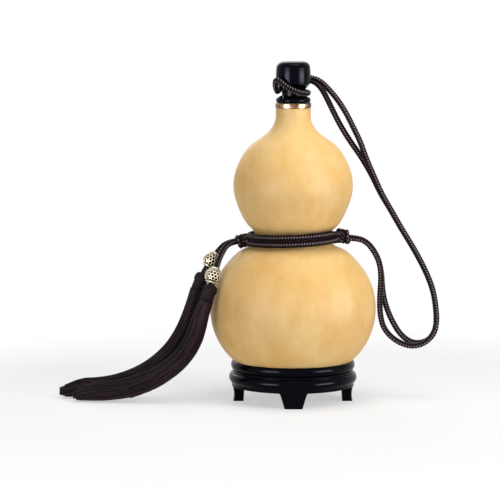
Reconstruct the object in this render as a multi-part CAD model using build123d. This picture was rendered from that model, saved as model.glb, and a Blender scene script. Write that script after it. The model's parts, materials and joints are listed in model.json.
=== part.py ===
from build123d import *
import math
import os

# A hollow dried gourd used as a drinking bottle. It stands in a turned, black
# lacquered ring stand. A black lacquered lid screws into a brass collar in its
# neck. One braided cord is wound round the waist, hangs as a carrying sling
# that is noosed round the lid, and ends at two beads and two tassels.
# Millimetres, +Z up, origin on the gourd's axis at the plane of the stand's feet.
# -Y is the front, -X is the side of the tassels, +X is the side of the sling.

# Gourd
GOURD_BOTTOM_Z = 14.0
LOWER_R = 58.0
WAIST_Z = 115.2
WAIST_R = 26.8
UPPER_R = 41.7
NECK_R = 12.2
NECK_TOP_Z = 205.7
GOURD_WALL = 4.0
LINING_T = 0.6
GLUE_GAP = 0.05

# Each outline point is a share of the way out from the narrower radius to the wider one of
# its stretch, and a share of the height between the gourd's bottom and waist, or between its
# waist and the neck's top. The stretches run from the bottom to the lower bulb's widest, on
# to the waist, on to the upper bulb's widest, and on to the neck.
BOTTOM_SHARES = [
    (0.5, 0.063),
    (0.8, 0.191),
    (1.0, 0.474),
]
SHOULDER_SHARES = [
    (0.7955, 0.741),
    (0.5538, 0.839),
    (0.2564, 0.914),
    (0.06, 0.944),
    (0.013, 0.964),
]
CHIN_SHARES = [
    (0.0513, 0.05),
    (0.2444, 0.083),
    (0.6362, 0.182),
    (1.0, 0.388),
]
CROWN_SHARES = [
    (0.8352, 0.602),
    (0.5701, 0.717),
    (0.115, 0.836),
    (0.038, 0.882),
]
NECK_STRAIGHT = 6.5
OUTLINE_SAMPLES = 1000

# Brass collar glued into the neck, with the female thread
COLLAR_R = 12.6
COLLAR_H = 3.6
COLLAR_EDGE = 0.6
SPIGOT_R = 9.0
SPIGOT_L = 13.0
THREAD_CREST_R = 7.5
THREAD_DEPTH = 0.8
THREAD_PITCH = 3.0
THREAD_ROOT_W = 1.5
THREAD_CREST_W = 0.8
THREAD_GAP = 0.25
THREAD_BITE = 0.3
THREAD_START_ANGLE = 37.0

# Lid: black lacquered wood, with a brass plug that carries the male thread
LID_GAP = 0.2
FLANGE_R = 12.1
FLANGE_H = 3.3
FLANGE_CONE_H = 1.6
GROOVE_R = 7.9
GROOVE_H = 3.6
KNOB_R = 11.8
KNOB_SWELL = 0.3
KNOB_TAPER_H = 4.6
KNOB_H = 19.8
KNOB_EDGE = 4.2
PLUG_L = 10.4
PLUG_WALL = 1.5
TANG_R = 5.4
TANG_L = 13.0
TANG_CHAMFER = 0.8
SEAL_T = 1.2
SEAL_IN_R = 8.6
SEAL_OUT_R = 10.8

# Braided cord
CORD_D = 4.1
WIND_GAP = 0.45
WIND_CLEAR = 2.0
WIND_RISE = -0.8
WAIST_TILT = 1.0
RUN_SHARE = 0.45
KNOT_OUT = 4.4
KNOT_TURNS = 3
KNOT_PITCH = 3.0
KNOT_CORE_R = 2.6
KNOT_LEAN = 12.0

# Stand
SEAT_GAP = 0.3
STAND_OUT_SHARE = 0.7741
SEAT_TOP_SHARE = 0.1542
STAND_RING_W = 11.4
SEAT_RING_STEP = 1.4
SEAT_RING_H = 7.8
FILLET_STRIP_H = 1.6
FILLET_STRIP_IN = 1.0
BASE_RING_H = 10.9
SKIRT_IN = 1.9
SKIRT_H = 2.1
FOOT_COUNT = 4
FOOT_TOP_W = 19.8
FOOT_NECK_W = 17.8
FOOT_BOTTOM_W = 12.6
FOOT_NECK_DROP = 2.0
FOOT_IN_STEP = 1.5
FOOT_OUT_STEP = 2.1
FOOT_EDGE = 0.8
TENON_R = 2.4
TENON_L = 4.0
JOINT_GAP = 0.05

# The stand's radii and heights follow the bulb that it carries
STAND_OUT_R = LOWER_R * STAND_OUT_SHARE
STAND_IN_R = STAND_OUT_R - STAND_RING_W
SEAT_RING_R = STAND_OUT_R - SEAT_RING_STEP
FOOT_IN_R = STAND_IN_R + FOOT_IN_STEP
FOOT_OUT_R = STAND_OUT_R - FOOT_OUT_STEP
SEAT_RING_TOP = GOURD_BOTTOM_Z + (WAIST_Z - GOURD_BOTTOM_Z) * SEAT_TOP_SHARE
SEAT_RING_BOTTOM = SEAT_RING_TOP - SEAT_RING_H
SKIRT_BOTTOM = SEAT_RING_BOTTOM - BASE_RING_H

# Beads
BEAD_R = 6.0
BEAD_WALL = 0.9
BEAD_GAP = 0.4
BEAD_LIP = 0.5
BEAD_FRONT_SHARE = 0.8
BEAD_REAR_SHARE = 0.65

# Tassels
HEAD_R = 4.2
HEAD_TOP_R = 2.3
HEAD_L = 9.6
HEAD_DOME_H = 3.4
HEAD_NECK_R = 3.2
BINDING_L = 5.6
BINDING_R = 4.3
BINDING_EDGE = 0.4
SKIRT_R = 6.5
SKIRT_TOP_SHARE = 0.66
SKIRT_SWELL_L = 26.0

# Hand-chosen points of the free cords and of the tassels' middle lines
SLING_FRONT = [
    (38.6, -2.3, 114.6),
    (45.6, -2.3, 114.4),
    (51.8, -2.3, 111.8),
    (56.6, -2.3, 106.0),
    (60.2, -2.3, 98.8),
    (61.7, -2.3, 89.8),
    (61.3, -2.3, 79.6),
    (60.7, -2.3, 69.4),
    (61.3, -2.3, 59.8),
    (63.4, -2.3, 51.6),
    (68.6, -2.3, 45.0),
    (76.2, -2.3, 40.0),
    (84.8, -2.3, 38.0),
    (93.2, -2.3, 40.8),
    (98.8, -2.3, 47.2),
    (100.9, -2.3, 55.6),
    (100.3, -2.3, 64.4),
    (98.8, -2.3, 75.0),
    (95.0, -2.3, 86.4),
    (89.6, -2.3, 98.0),
    (83.2, -2.3, 109.4),
    (76.2, -2.3, 120.6),
    (69.4, -2.3, 132.6),
    (62.1, -2.3, 145.0),
    (56.2, -2.3, 158.2),
    (50.6, -2.0, 171.2),
    (46.6, -1.2, 182.6),
    (41.6, 0.6, 192.6),
    (36.6, 3.0, 202.6),
    (31.0, 6.0, 211.0),
    (24.9, 9.3, 218.2),
    (19.2, 12.1, 223.6),
    (12.95, 14.09, 225.83),
    (7.15, 14.59, 226.0),
]
SLING_REAR = [
    (38.6, 2.3, 114.6),
    (45.6, 2.3, 114.2),
    (51.9, 2.3, 111.2),
    (56.9, 2.3, 104.8),
    (60.6, 2.3, 97.4),
    (62.2, 2.3, 88.4),
    (62.7, 2.3, 79.2),
    (64.1, 2.3, 70.4),
    (67.0, 2.3, 61.6),
    (71.0, 2.3, 53.2),
    (75.9, 2.3, 45.7),
    (82.6, 2.3, 40.55),
    (89.6, 2.3, 39.75),
    (96.1, 2.3, 42.6),
    (100.2, 2.3, 48.4),
    (100.9, 2.3, 57.6),
    (100.1, 2.3, 67.4),
    (98.2, 2.3, 78.2),
    (94.2, 2.3, 88.4),
    (88.6, 2.3, 99.4),
    (82.2, 2.3, 110.6),
    (75.2, 2.3, 121.8),
    (68.4, 2.3, 133.8),
    (60.9, 2.3, 146.0),
    (54.8, 2.4, 159.0),
    (47.4, 2.8, 171.6),
    (41.0, 4.0, 180.4),
    (35.6, 6.0, 188.6),
    (31.2, 8.6, 196.4),
    (27.6, 11.4, 203.6),
    (24.2, 14.2, 210.6),
    (20.6, 16.4, 217.4),
    (16.6, 18.6, 222.0),
    (11.2, 20.15, 224.0),
    (5.75, 20.59, 224.0),
]
NOOSE = [
    (7.0, 14.6, 226.0),
    (1.6, 15.07, 226.16),
    (-4.4, 14.4, 223.2),
    (-9.4, 10.7, 219.8),
    (-12.7, 4.4, 218.5),
    (-13.95, -2.6, 220.9),
    (-12.7, -8.2, 225.2),
    (-9.9, -11.4, 226.8),
    (-6.7, -13.2, 225.4),
    (-4.0, -14.1, 222.4),
    (1.2, -13.6, 219.4),
    (5.8, -10.6, 217.5),
    (9.1, -5.8, 216.4),
    (10.6, -0.6, 216.2),
    (9.7, 4.7, 216.2),
    (6.5, 9.0, 216.2),
    (2.2, 11.8, 216.3),
    (-1.6, 14.2, 216.8),
    (-5.0, 17.0, 217.9),
    (-6.6, 20.2, 220.4),
    (-4.6, 21.6, 223.2),
    (0.0, 21.05, 224.0),
    (5.6, 20.6, 224.0),
]
TASSEL_CORD_FRONT = [
    (-38.4, -2.3, 112.4),
    (-45.6, -6.6, 112.2),
    (-50.3, -12.2, 106.4),
    (-52.9, -17.2, 98.6),
    (-58.1, -24.0, 82.2),
]
TASSEL_CORD_REAR = [
    (-38.4, 2.3, 112.4),
    (-46.0, -0.9, 111.6),
    (-52.0, -3.6, 106.6),
    (-62.0, -8.4, 92.6),
    (-64.3, -9.2, 88.6),
]
TASSEL_FRONT = [
    (-64.4, -27.2, 63.6),
    (-66.6, -26.0, 53.4),
    (-70.6, -23.6, 43.6),
    (-76.6, -20.8, 34.0),
    (-85.0, -18.0, 25.2),
    (-95.6, -15.6, 17.8),
    (-108.4, -13.4, 12.0),
    (-123.0, -11.4, 8.6),
    (-138.4, -9.6, 7.3),
    (-154.0, -8.0, 6.9),
]
TASSEL_REAR = [
    (-71.0, -9.8, 69.0),
    (-73.0, -8.6, 58.8),
    (-76.2, -7.0, 49.2),
    (-81.4, -5.0, 39.8),
    (-88.6, -2.8, 30.8),
    (-98.0, -0.4, 22.6),
    (-109.4, 2.0, 15.6),
    (-122.8, 4.2, 10.4),
    (-137.4, 6.0, 7.8),
    (-152.2, 7.4, 7.0),
    (-164.6, 8.2, 6.9),
]


def gourd_points(inset):
    """The outline's points, moved in by inset along the normal of the outer outline."""
    lower_h = WAIST_Z - GOURD_BOTTOM_Z
    upper_h = NECK_TOP_Z - WAIST_Z
    stretches = [
        (BOTTOM_SHARES, 0, LOWER_R, GOURD_BOTTOM_Z, lower_h),
        (SHOULDER_SHARES, WAIST_R, LOWER_R, GOURD_BOTTOM_Z, lower_h),
        ([(0, 0)], WAIST_R, WAIST_R, WAIST_Z, upper_h),
        (CHIN_SHARES, WAIST_R, UPPER_R, WAIST_Z, upper_h),
        (CROWN_SHARES, NECK_R, UPPER_R, WAIST_Z, upper_h),
    ]
    outer = [Vector(0, 0, GOURD_BOTTOM_Z)]
    for shares, narrow, wide, start, height in stretches:
        outer += [Vector(narrow + (wide - narrow) * r, 0, start + height * h) for r, h in shares]
    outer += [Vector(NECK_R, 0, NECK_TOP_Z - NECK_STRAIGHT), Vector(NECK_R, 0, NECK_TOP_Z)]
    if inset == 0:
        return outer
    line = Spline(*outer[:-1], tangents=[(1, 0, 0), (0, 0, 1)], tangent_scalars=[1, 1])
    samples = [n / OUTLINE_SAMPLES for n in range(OUTLINE_SAMPLES + 1)]
    moved = []
    for point in outer[:-1]:
        along = line % min(samples, key=lambda share: (line @ share - point).length)
        moved.append(point + Vector(-along.Z, 0, along.X) * inset)
    moved[0] = Vector(0, 0, GOURD_BOTTOM_Z + inset)
    return moved + [Vector(NECK_R - inset, 0, NECK_TOP_Z)]


def gourd_line(inset):
    """The outline: one smooth curve round both bulbs, and the neck's straight end."""
    points = gourd_points(inset)
    bulbs = Spline(*points[:-1], tangents=[(1, 0, 0), (0, 0, 1)], tangent_scalars=[1, 1])
    return [bulbs, Line(*points[-2:])]


def between(outer, inner):
    """The half section between two outlines that both start on the axis."""
    top = Line(outer[-1] @ 1, inner[-1] @ 1)
    bottom = Line(inner[0] @ 0, outer[0] @ 0)
    return make_face([*outer, top, *inner, bottom])


def gourd_solid(inset):
    """The gourd's whole form, filled, for cutting seats to its shape."""
    line = gourd_line(inset)
    top = Line(line[-1] @ 1, (0, 0, NECK_TOP_Z))
    axis = Line((0, 0, NECK_TOP_Z), line[0] @ 0)
    return revolve(make_face([*line, top, axis]), Axis.Z)


def turned(points):
    """A turned piece: a closed outline of (radius, height) points, revolved."""
    return revolve(make_face(Polyline(*[(r, 0, z) for r, z in points], close=True)), Axis.Z)


def gourd_shell():
    shell = revolve(between(gourd_line(0), gourd_line(GOURD_WALL)), Axis.Z)
    bore = Cylinder(SPIGOT_R + GLUE_GAP, SPIGOT_L + GLUE_GAP, align=(Align.CENTER, Align.CENTER, Align.MAX))
    return shell - Pos(0, 0, NECK_TOP_Z) * bore


def inner_lining():
    section = between(gourd_line(GOURD_WALL + GLUE_GAP), gourd_line(GOURD_WALL + GLUE_GAP + LINING_T))
    above = Rectangle(NECK_R * 2, SPIGOT_L + GLUE_GAP * 2, align=(Align.CENTER, Align.MAX))
    return revolve(section - Plane.XZ * Pos(0, NECK_TOP_Z) * above, Axis.Z)


def thread_ridge(radius, depth, root_w, crest_w, bottom, top):
    """One right-handed helical ridge from bottom to top; a negative depth makes it point inwards."""
    helix = Pos(0, 0, bottom) * Helix(THREAD_PITCH, top - bottom, radius)
    bite = math.copysign(THREAD_BITE, depth)
    outline = Polyline(
        (radius - bite, 0, -root_w / 2),
        (radius, 0, -root_w / 2),
        (radius + depth, 0, -crest_w / 2),
        (radius + depth, 0, crest_w / 2),
        (radius, 0, root_w / 2),
        (radius - bite, 0, root_w / 2),
        close=True,
    )
    return sweep(Pos(0, 0, bottom) * make_face(outline), path=helix, is_frenet=True)


def collar_top():
    return NECK_TOP_Z + COLLAR_H


def lid_bottom():
    return collar_top() + LID_GAP


def neck_collar():
    top = collar_top()
    root = THREAD_CREST_R + THREAD_GAP
    body = turned(
        [
            (root, NECK_TOP_Z - SPIGOT_L),
            (SPIGOT_R, NECK_TOP_Z - SPIGOT_L),
            (SPIGOT_R, NECK_TOP_Z),
            (COLLAR_R, NECK_TOP_Z),
            (COLLAR_R, top),
            (root, top),
        ]
    )
    circles = body.edges().filter_by(GeomType.CIRCLE)
    body = fillet(circles.filter_by(lambda e: abs(e.radius - COLLAR_R) < GLUE_GAP), COLLAR_EDGE)
    # The female ridge runs half a pitch away from the male one.
    start = NECK_TOP_Z - SPIGOT_L + THREAD_ROOT_W
    ridge = thread_ridge(
        root,
        -THREAD_DEPTH,
        THREAD_ROOT_W - THREAD_GAP,
        THREAD_CREST_W - THREAD_GAP,
        start,
        top - THREAD_ROOT_W,
    )
    return body + ridge


def lid_thread():
    """Brass cup: a tang up into the lid, and the threaded plug below it."""
    bottom = lid_bottom()
    core = THREAD_CREST_R - THREAD_DEPTH
    body = turned(
        [
            (0, bottom + TANG_L),
            (TANG_R - TANG_CHAMFER, bottom + TANG_L),
            (TANG_R, bottom + TANG_L - TANG_CHAMFER),
            (TANG_R, bottom),
            (core, bottom),
            (core, bottom - PLUG_L),
            (core - PLUG_WALL, bottom - PLUG_L),
            (core - PLUG_WALL, bottom - PLUG_WALL),
            (0, bottom - PLUG_WALL),
        ]
    )
    collar_start = NECK_TOP_Z - SPIGOT_L + THREAD_ROOT_W
    lowest = bottom - PLUG_L + THREAD_ROOT_W
    # Whole pitches plus half a pitch above the collar's ridge keep the two ridges in mesh.
    start = collar_start + THREAD_PITCH / 2
    while start < lowest:
        start += THREAD_PITCH
    ridge = thread_ridge(core, THREAD_DEPTH, THREAD_ROOT_W, THREAD_CREST_W, start, bottom - THREAD_ROOT_W)
    return Rot(0, 0, THREAD_START_ANGLE) * body + ridge


def lid_body():
    bottom = lid_bottom()
    flange = bottom + FLANGE_H
    groove = flange + FLANGE_CONE_H
    taper = groove + GROOVE_H
    knob = taper + KNOB_TAPER_H
    top = taper + KNOB_H
    middle = (knob + top - KNOB_EDGE) / 2
    outline = [
        Line((0, 0, bottom), (FLANGE_R - COLLAR_EDGE, 0, bottom)),
        ThreePointArc(
            (FLANGE_R - COLLAR_EDGE, 0, bottom),
            (FLANGE_R, 0, bottom + FLANGE_H / 2),
            (FLANGE_R - COLLAR_EDGE, 0, flange),
        ),
        Line((FLANGE_R - COLLAR_EDGE, 0, flange), (GROOVE_R, 0, groove)),
        Line((GROOVE_R, 0, groove), (GROOVE_R, 0, taper)),
        Line((GROOVE_R, 0, taper), (KNOB_R, 0, knob)),
        ThreePointArc((KNOB_R, 0, knob), (KNOB_R + KNOB_SWELL, 0, middle), (KNOB_R, 0, top - KNOB_EDGE)),
        TangentArc((KNOB_R, 0, top - KNOB_EDGE), (KNOB_R - KNOB_EDGE, 0, top), tangent=(0, 0, 1)),
    ]
    corner = outline[-1] @ 1
    outline += [Line(corner, (0, 0, corner.Z)), Line((0, 0, corner.Z), (0, 0, bottom))]
    body = revolve(make_face(outline), Axis.Z)
    socket = Cylinder(TANG_R + GLUE_GAP, TANG_L + GLUE_GAP, align=(Align.CENTER, Align.CENTER, Align.MIN))
    recess = turned(
        [
            (SEAL_IN_R - GLUE_GAP, bottom),
            (SEAL_OUT_R + GLUE_GAP, bottom),
            (SEAL_OUT_R + GLUE_GAP, bottom + SEAL_T - LID_GAP),
            (SEAL_IN_R - GLUE_GAP, bottom + SEAL_T - LID_GAP),
        ]
    )
    return body - Pos(0, 0, bottom) * socket - recess


def lid_seal():
    low = collar_top()
    high = low + SEAL_T
    return turned([(SEAL_IN_R, low), (SEAL_OUT_R, low), (SEAL_OUT_R, high), (SEAL_IN_R, high)])


def corner_radii(points):
    """The largest arc at each corner of a route that its two runs allow."""
    radii = []
    for a, b, c in zip(points, points[1:], points[2:]):
        back, ahead = Vector(*b) - Vector(*a), Vector(*c) - Vector(*b)
        turn = math.radians(back.get_angle(ahead))
        radii.append(RUN_SHARE * min(back.length, ahead.length) / math.tan(turn / 2))
    return radii


def tube_along(path):
    start = Plane(origin=path @ 0, z_dir=path % 0)
    return sweep(start * Circle(CORD_D / 2), path=path)


def cord_path(points):
    return FilletPolyline(*points, radius=corner_radii(points))


def free_cord(name, points):
    radii = corner_radii(points)
    path = cord_path(points)
    tube = tube_along(path)
    share = tube.volume / (math.pi * CORD_D**2 / 4 * path.length)
    print(name, "length", round(path.length, 1), "volume share", round(share, 4))
    print("    radii", [round(radius, 1) for radius in radii])
    return tube


def biarc(start, start_way, end, end_way):
    """Two tangent arcs from one point and direction to another."""
    across, ways = end - start, start_way + end_way
    a = 2 * (1 - start_way.dot(end_way))
    b = 2 * across.dot(ways)
    c = -across.dot(across)
    reach = (-b + math.sqrt(b * b - 4 * a * c)) / (2 * a)
    joint = (start + start_way * reach + end - end_way * reach) * 0.5
    middle_way = (end - end_way * reach - start - start_way * reach).normalized()
    return [TangentArc(start, joint, tangent=start_way), TangentArc(joint, end, tangent=middle_way)]


def wind_r():
    """The radius of the winding's middle line."""
    return WAIST_R + WIND_CLEAR + CORD_D / 2


def knot_reach():
    """How far the middle of each side's knot lies from the axis."""
    return wind_r() + KNOT_OUT


def waist_path():
    """Two turns round the waist, with both ends running straight into the right-hand knot."""
    pitch = CORD_D + WIND_GAP
    leave = math.acos(wind_r() / knot_reach())
    sweep_angle = 4 * math.pi - 2 * leave
    steps = 8
    rise = pitch / (2 * math.pi)
    slope = math.hypot(wind_r(), rise)

    def place(angle):
        turn = -leave - angle
        height = (sweep_angle / 2 - angle) * rise
        return Vector(wind_r() * math.cos(turn), wind_r() * math.sin(turn), height)

    def way(angle):
        turn = -leave - angle
        return Vector(wind_r() * math.sin(turn), -wind_r() * math.cos(turn), -rise) * (1 / slope)

    tail = knot_reach() * math.sin(leave)
    edges = [Line(place(0) - way(0) * tail, place(0))]
    for n in range(steps):
        a, b = sweep_angle * n / steps, sweep_angle * (n + 1) / steps
        edges += biarc(place(a), way(a), place(b), way(b))
    edges.append(Line(place(sweep_angle), place(sweep_angle) + way(sweep_angle) * tail))
    return Wire([waist_place() * edge for edge in edges])


def waist_place():
    """The winding's own place: level with the waist, with its right side higher."""
    return Pos(0, 0, WAIST_Z + WIND_RISE) * Rot(0, -WAIST_TILT, 0)


def least_gap(path, count=400):
    """The least gap of a wound tube to itself, measured on points that lie over a quarter turn apart."""
    points = [path @ (n / count) for n in range(count + 1)]
    apart = math.ceil(count * wind_r() * math.pi / 2 / path.length)
    nearest = min(
        (points[i] - points[j]).length for i in range(count + 1) for j in range(i + apart, count + 1)
    )
    return nearest - CORD_D


def waist_cord():
    path = waist_path()
    print("waist_cord length", round(path.length, 1), "least gap to itself", round(least_gap(path), 2))
    return tube_along(path)


def knot(side):
    """A tied knot on the winding: turns of cord side by side round a core, on the +X or -X side."""
    ring = Torus(KNOT_CORE_R, CORD_D / 2)
    offsets = [(n - (KNOT_TURNS - 1) / 2) * KNOT_PITCH for n in range(KNOT_TURNS)]
    lump = Cylinder(KNOT_CORE_R, KNOT_PITCH * (KNOT_TURNS - 1))
    for offset in offsets:
        lump += Pos(0, 0, offset) * ring
    return waist_place() * Pos(side * knot_reach(), 0, 0) * Rot(0, side * (90 + KNOT_LEAN), 0) * lump


def seat_ring():
    waist = (SEAT_RING_TOP + SEAT_RING_BOTTOM) / 2
    inner = STAND_IN_R + SEAT_GAP
    outline = [
        Line((inner, 0, SEAT_RING_BOTTOM), (SEAT_RING_R - SKIRT_IN, 0, SEAT_RING_BOTTOM)),
        ThreePointArc(
            (SEAT_RING_R - SKIRT_IN, 0, SEAT_RING_BOTTOM),
            (SEAT_RING_R, 0, waist),
            (SEAT_RING_R - SKIRT_IN * 2, 0, SEAT_RING_TOP),
        ),
        Line((SEAT_RING_R - SKIRT_IN * 2, 0, SEAT_RING_TOP), (inner, 0, SEAT_RING_TOP)),
        Line((inner, 0, SEAT_RING_TOP), (inner, 0, SEAT_RING_BOTTOM)),
    ]
    return revolve(make_face(outline), Axis.Z) - gourd_solid(-SEAT_GAP)


def base_ring():
    strip = SEAT_RING_BOTTOM - FILLET_STRIP_H
    skirt = SKIRT_BOTTOM + SKIRT_H
    outline = [
        Line((STAND_IN_R, 0, SKIRT_BOTTOM), (STAND_OUT_R - SKIRT_IN, 0, SKIRT_BOTTOM)),
        Line((STAND_OUT_R - SKIRT_IN, 0, SKIRT_BOTTOM), (STAND_OUT_R - SKIRT_IN, 0, skirt)),
        ThreePointArc(
            (STAND_OUT_R - SKIRT_IN, 0, skirt),
            (STAND_OUT_R, 0, (skirt + strip) / 2),
            (STAND_OUT_R - SKIRT_IN, 0, strip),
        ),
        Line((STAND_OUT_R - SKIRT_IN, 0, strip), (STAND_OUT_R - SKIRT_IN - FILLET_STRIP_IN, 0, strip)),
        Line(
            (STAND_OUT_R - SKIRT_IN - FILLET_STRIP_IN, 0, strip),
            (STAND_OUT_R - SKIRT_IN - FILLET_STRIP_IN, 0, SEAT_RING_BOTTOM),
        ),
        Line(
            (STAND_OUT_R - SKIRT_IN - FILLET_STRIP_IN, 0, SEAT_RING_BOTTOM),
            (STAND_IN_R, 0, SEAT_RING_BOTTOM),
        ),
        Line((STAND_IN_R, 0, SEAT_RING_BOTTOM), (STAND_IN_R, 0, SKIRT_BOTTOM)),
    ]
    ring = revolve(make_face(outline), Axis.Z) - gourd_solid(-SEAT_GAP)
    standing = (Align.CENTER, Align.CENTER, Align.MIN)
    mortise = Cylinder(TENON_R + JOINT_GAP, TENON_L + JOINT_GAP, align=standing)
    for n in range(FOOT_COUNT):
        ring -= Rot(0, 0, 360 / FOOT_COUNT * n) * Pos(tenon_r(), 0, SKIRT_BOTTOM) * mortise
    return ring


def tenon_r():
    return (FOOT_IN_R + FOOT_OUT_R) / 2


def foot():
    """One carved foot on the +X side: a flared outline, cut to the ring's curve, with a round tenon."""
    neck = SKIRT_BOTTOM - FOOT_NECK_DROP
    half = [FOOT_TOP_W / 2, FOOT_NECK_W / 2, FOOT_BOTTOM_W / 2]
    front = Polyline(
        (0, -half[2], 0),
        (0, half[2], 0),
        (0, half[1], neck),
        (0, half[0], SKIRT_BOTTOM),
        (0, -half[0], SKIRT_BOTTOM),
        (0, -half[1], neck),
        close=True,
    )
    block = extrude(make_face(front), amount=FOOT_OUT_R * 2, dir=(1, 0, 0))
    bow = Line((FOOT_IN_R, 0, 0), (FOOT_OUT_R - FOOT_EDGE, 0, 0))
    shin = ThreePointArc(
        (FOOT_OUT_R - FOOT_EDGE, 0, 0),
        (FOOT_OUT_R - FOOT_EDGE * 1.5, 0, SKIRT_BOTTOM / 2),
        (FOOT_OUT_R, 0, SKIRT_BOTTOM),
    )
    top = Line((FOOT_OUT_R, 0, SKIRT_BOTTOM), (FOOT_IN_R, 0, SKIRT_BOTTOM))
    back = Line((FOOT_IN_R, 0, SKIRT_BOTTOM), (FOOT_IN_R, 0, 0))
    curve = revolve(make_face([bow, shin, top, back]), Axis.Z)
    shape = block & curve
    uprights = shape.edges().filter_by(lambda e: e.bounding_box().size.Z > FOOT_NECK_DROP / 2)
    shape = fillet(uprights, FOOT_EDGE)
    tenon = Cylinder(TENON_R, TENON_L, align=(Align.CENTER, Align.CENTER, Align.MIN))
    return shape + Pos(tenon_r(), 0, SKIRT_BOTTOM) * tenon


def bead(points, share):
    """A hollow bead with a rolled lip round each end of its bore, at a share of its cord's length."""
    path = cord_path(points)
    frame = Plane(origin=path @ share, z_dir=path % share)
    bore_r = CORD_D / 2 + BEAD_GAP
    end = math.sqrt(BEAD_R**2 - (bore_r + BEAD_LIP) ** 2)
    shell = Sphere(BEAD_R) - Sphere(BEAD_R - BEAD_WALL)
    tube = Cylinder(bore_r + BEAD_LIP, end * 2)
    bore = Cylinder(bore_r, BEAD_R * 4)
    return frame * (shell + tube - bore)


def head_frame(points):
    """The plane at the end of a tassel's cord, with its Z back along the cord."""
    a, b = Vector(*points[-2]), Vector(*points[-1])
    return Plane(origin=b, z_dir=a - b)


def tassel_head(points):
    """The tied head: a domed top that the cord enters, over a neck."""
    neck = HEAD_L - BINDING_L
    outline = [
        Line((0, 0, 0), (HEAD_TOP_R, 0, 0)),
        TangentArc((HEAD_R, 0, -HEAD_DOME_H), (HEAD_TOP_R, 0, 0), tangent=(0, 0, 1)),
        Line((HEAD_R, 0, -HEAD_DOME_H), (HEAD_NECK_R, 0, -neck)),
        Line((HEAD_NECK_R, 0, -neck), (HEAD_NECK_R, 0, -HEAD_L)),
        Line((HEAD_NECK_R, 0, -HEAD_L), (0, 0, -HEAD_L)),
        Line((0, 0, -HEAD_L), (0, 0, 0)),
    ]
    return head_frame(points) * revolve(make_face(outline), Axis.Z)


def tassel_binding(points):
    """The band of wound thread round the head's neck."""
    low, inner = -HEAD_L, HEAD_NECK_R + JOINT_GAP
    high = low + BINDING_L - JOINT_GAP
    band = turned([(inner, low), (BINDING_R, low), (BINDING_R, high), (inner, high)])
    circles = band.edges().filter_by(GeomType.CIRCLE)
    rims = circles.filter_by(lambda e: abs(e.radius - BINDING_R) < BINDING_EDGE / 2)
    return head_frame(points) * fillet(rims, BINDING_EDGE)


def tassel_skirt(points, route):
    """The bundle of strands: it swells below the head, bends down and lies on the floor."""
    frame = head_frame(points)
    places = [frame.origin, frame.origin - frame.z_dir * HEAD_L] + [Vector(*point) for point in route]
    sections = []
    along = 0
    for before, place, after in zip(places, places[1:], places[2:] + [places[-1] * 2 - places[-2]]):
        if sections:
            along += (place - before).length
        way = (place - before).normalized() + (after - place).normalized()
        swell = min(along / SKIRT_SWELL_L, 1)
        radius = SKIRT_R * (SKIRT_TOP_SHARE + (1 - SKIRT_TOP_SHARE) * swell)
        sections.append(Plane(origin=place, z_dir=way if sections else -frame.z_dir) * Circle(radius))
    print("tassel length", round(along, 1))
    return loft(sections, ruled=True)


def build():
    """Every piece by its name."""
    parts = {
        "gourd_shell": gourd_shell(),
        "inner_lining": inner_lining(),
        "neck_collar": neck_collar(),
        "lid_body": lid_body(),
        "lid_thread": lid_thread(),
        "lid_seal": lid_seal(),
        "seat_ring": seat_ring(),
        "base_ring": base_ring(),
        "waist_cord": waist_cord(),
        "sling_leg_front": free_cord("sling_leg_front", SLING_FRONT),
        "sling_leg_rear": free_cord("sling_leg_rear", SLING_REAR),
        "lid_noose": free_cord("lid_noose", NOOSE),
        "tassel_cord_front": free_cord("tassel_cord_front", TASSEL_CORD_FRONT),
        "tassel_cord_rear": free_cord("tassel_cord_rear", TASSEL_CORD_REAR),
        "knot_right": knot(1),
        "knot_left": knot(-1),
        "bead_front": bead(TASSEL_CORD_FRONT, BEAD_FRONT_SHARE),
        "bead_rear": bead(TASSEL_CORD_REAR, BEAD_REAR_SHARE),
    }
    for side, cord, route in [
        ("front", TASSEL_CORD_FRONT, TASSEL_FRONT),
        ("rear", TASSEL_CORD_REAR, TASSEL_REAR),
    ]:
        parts["tassel_head_" + side] = tassel_head(cord)
        parts["tassel_binding_" + side] = tassel_binding(cord)
        parts["tassel_skirt_" + side] = tassel_skirt(cord, route)
    for n, side in enumerate(["right", "back", "left", "front"]):
        parts["foot_" + side] = Rot(0, 0, 360 / FOOT_COUNT * n) * foot()
    return parts


if __name__ == "__main__":
    os.makedirs("parts", exist_ok=True)
    for name, shape in build().items():
        export_step(shape, f"parts/{name}.step")
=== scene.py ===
import json
import math
import random

import bmesh
import bpy
import numpy as np
from mathutils import Matrix, Vector


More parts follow.
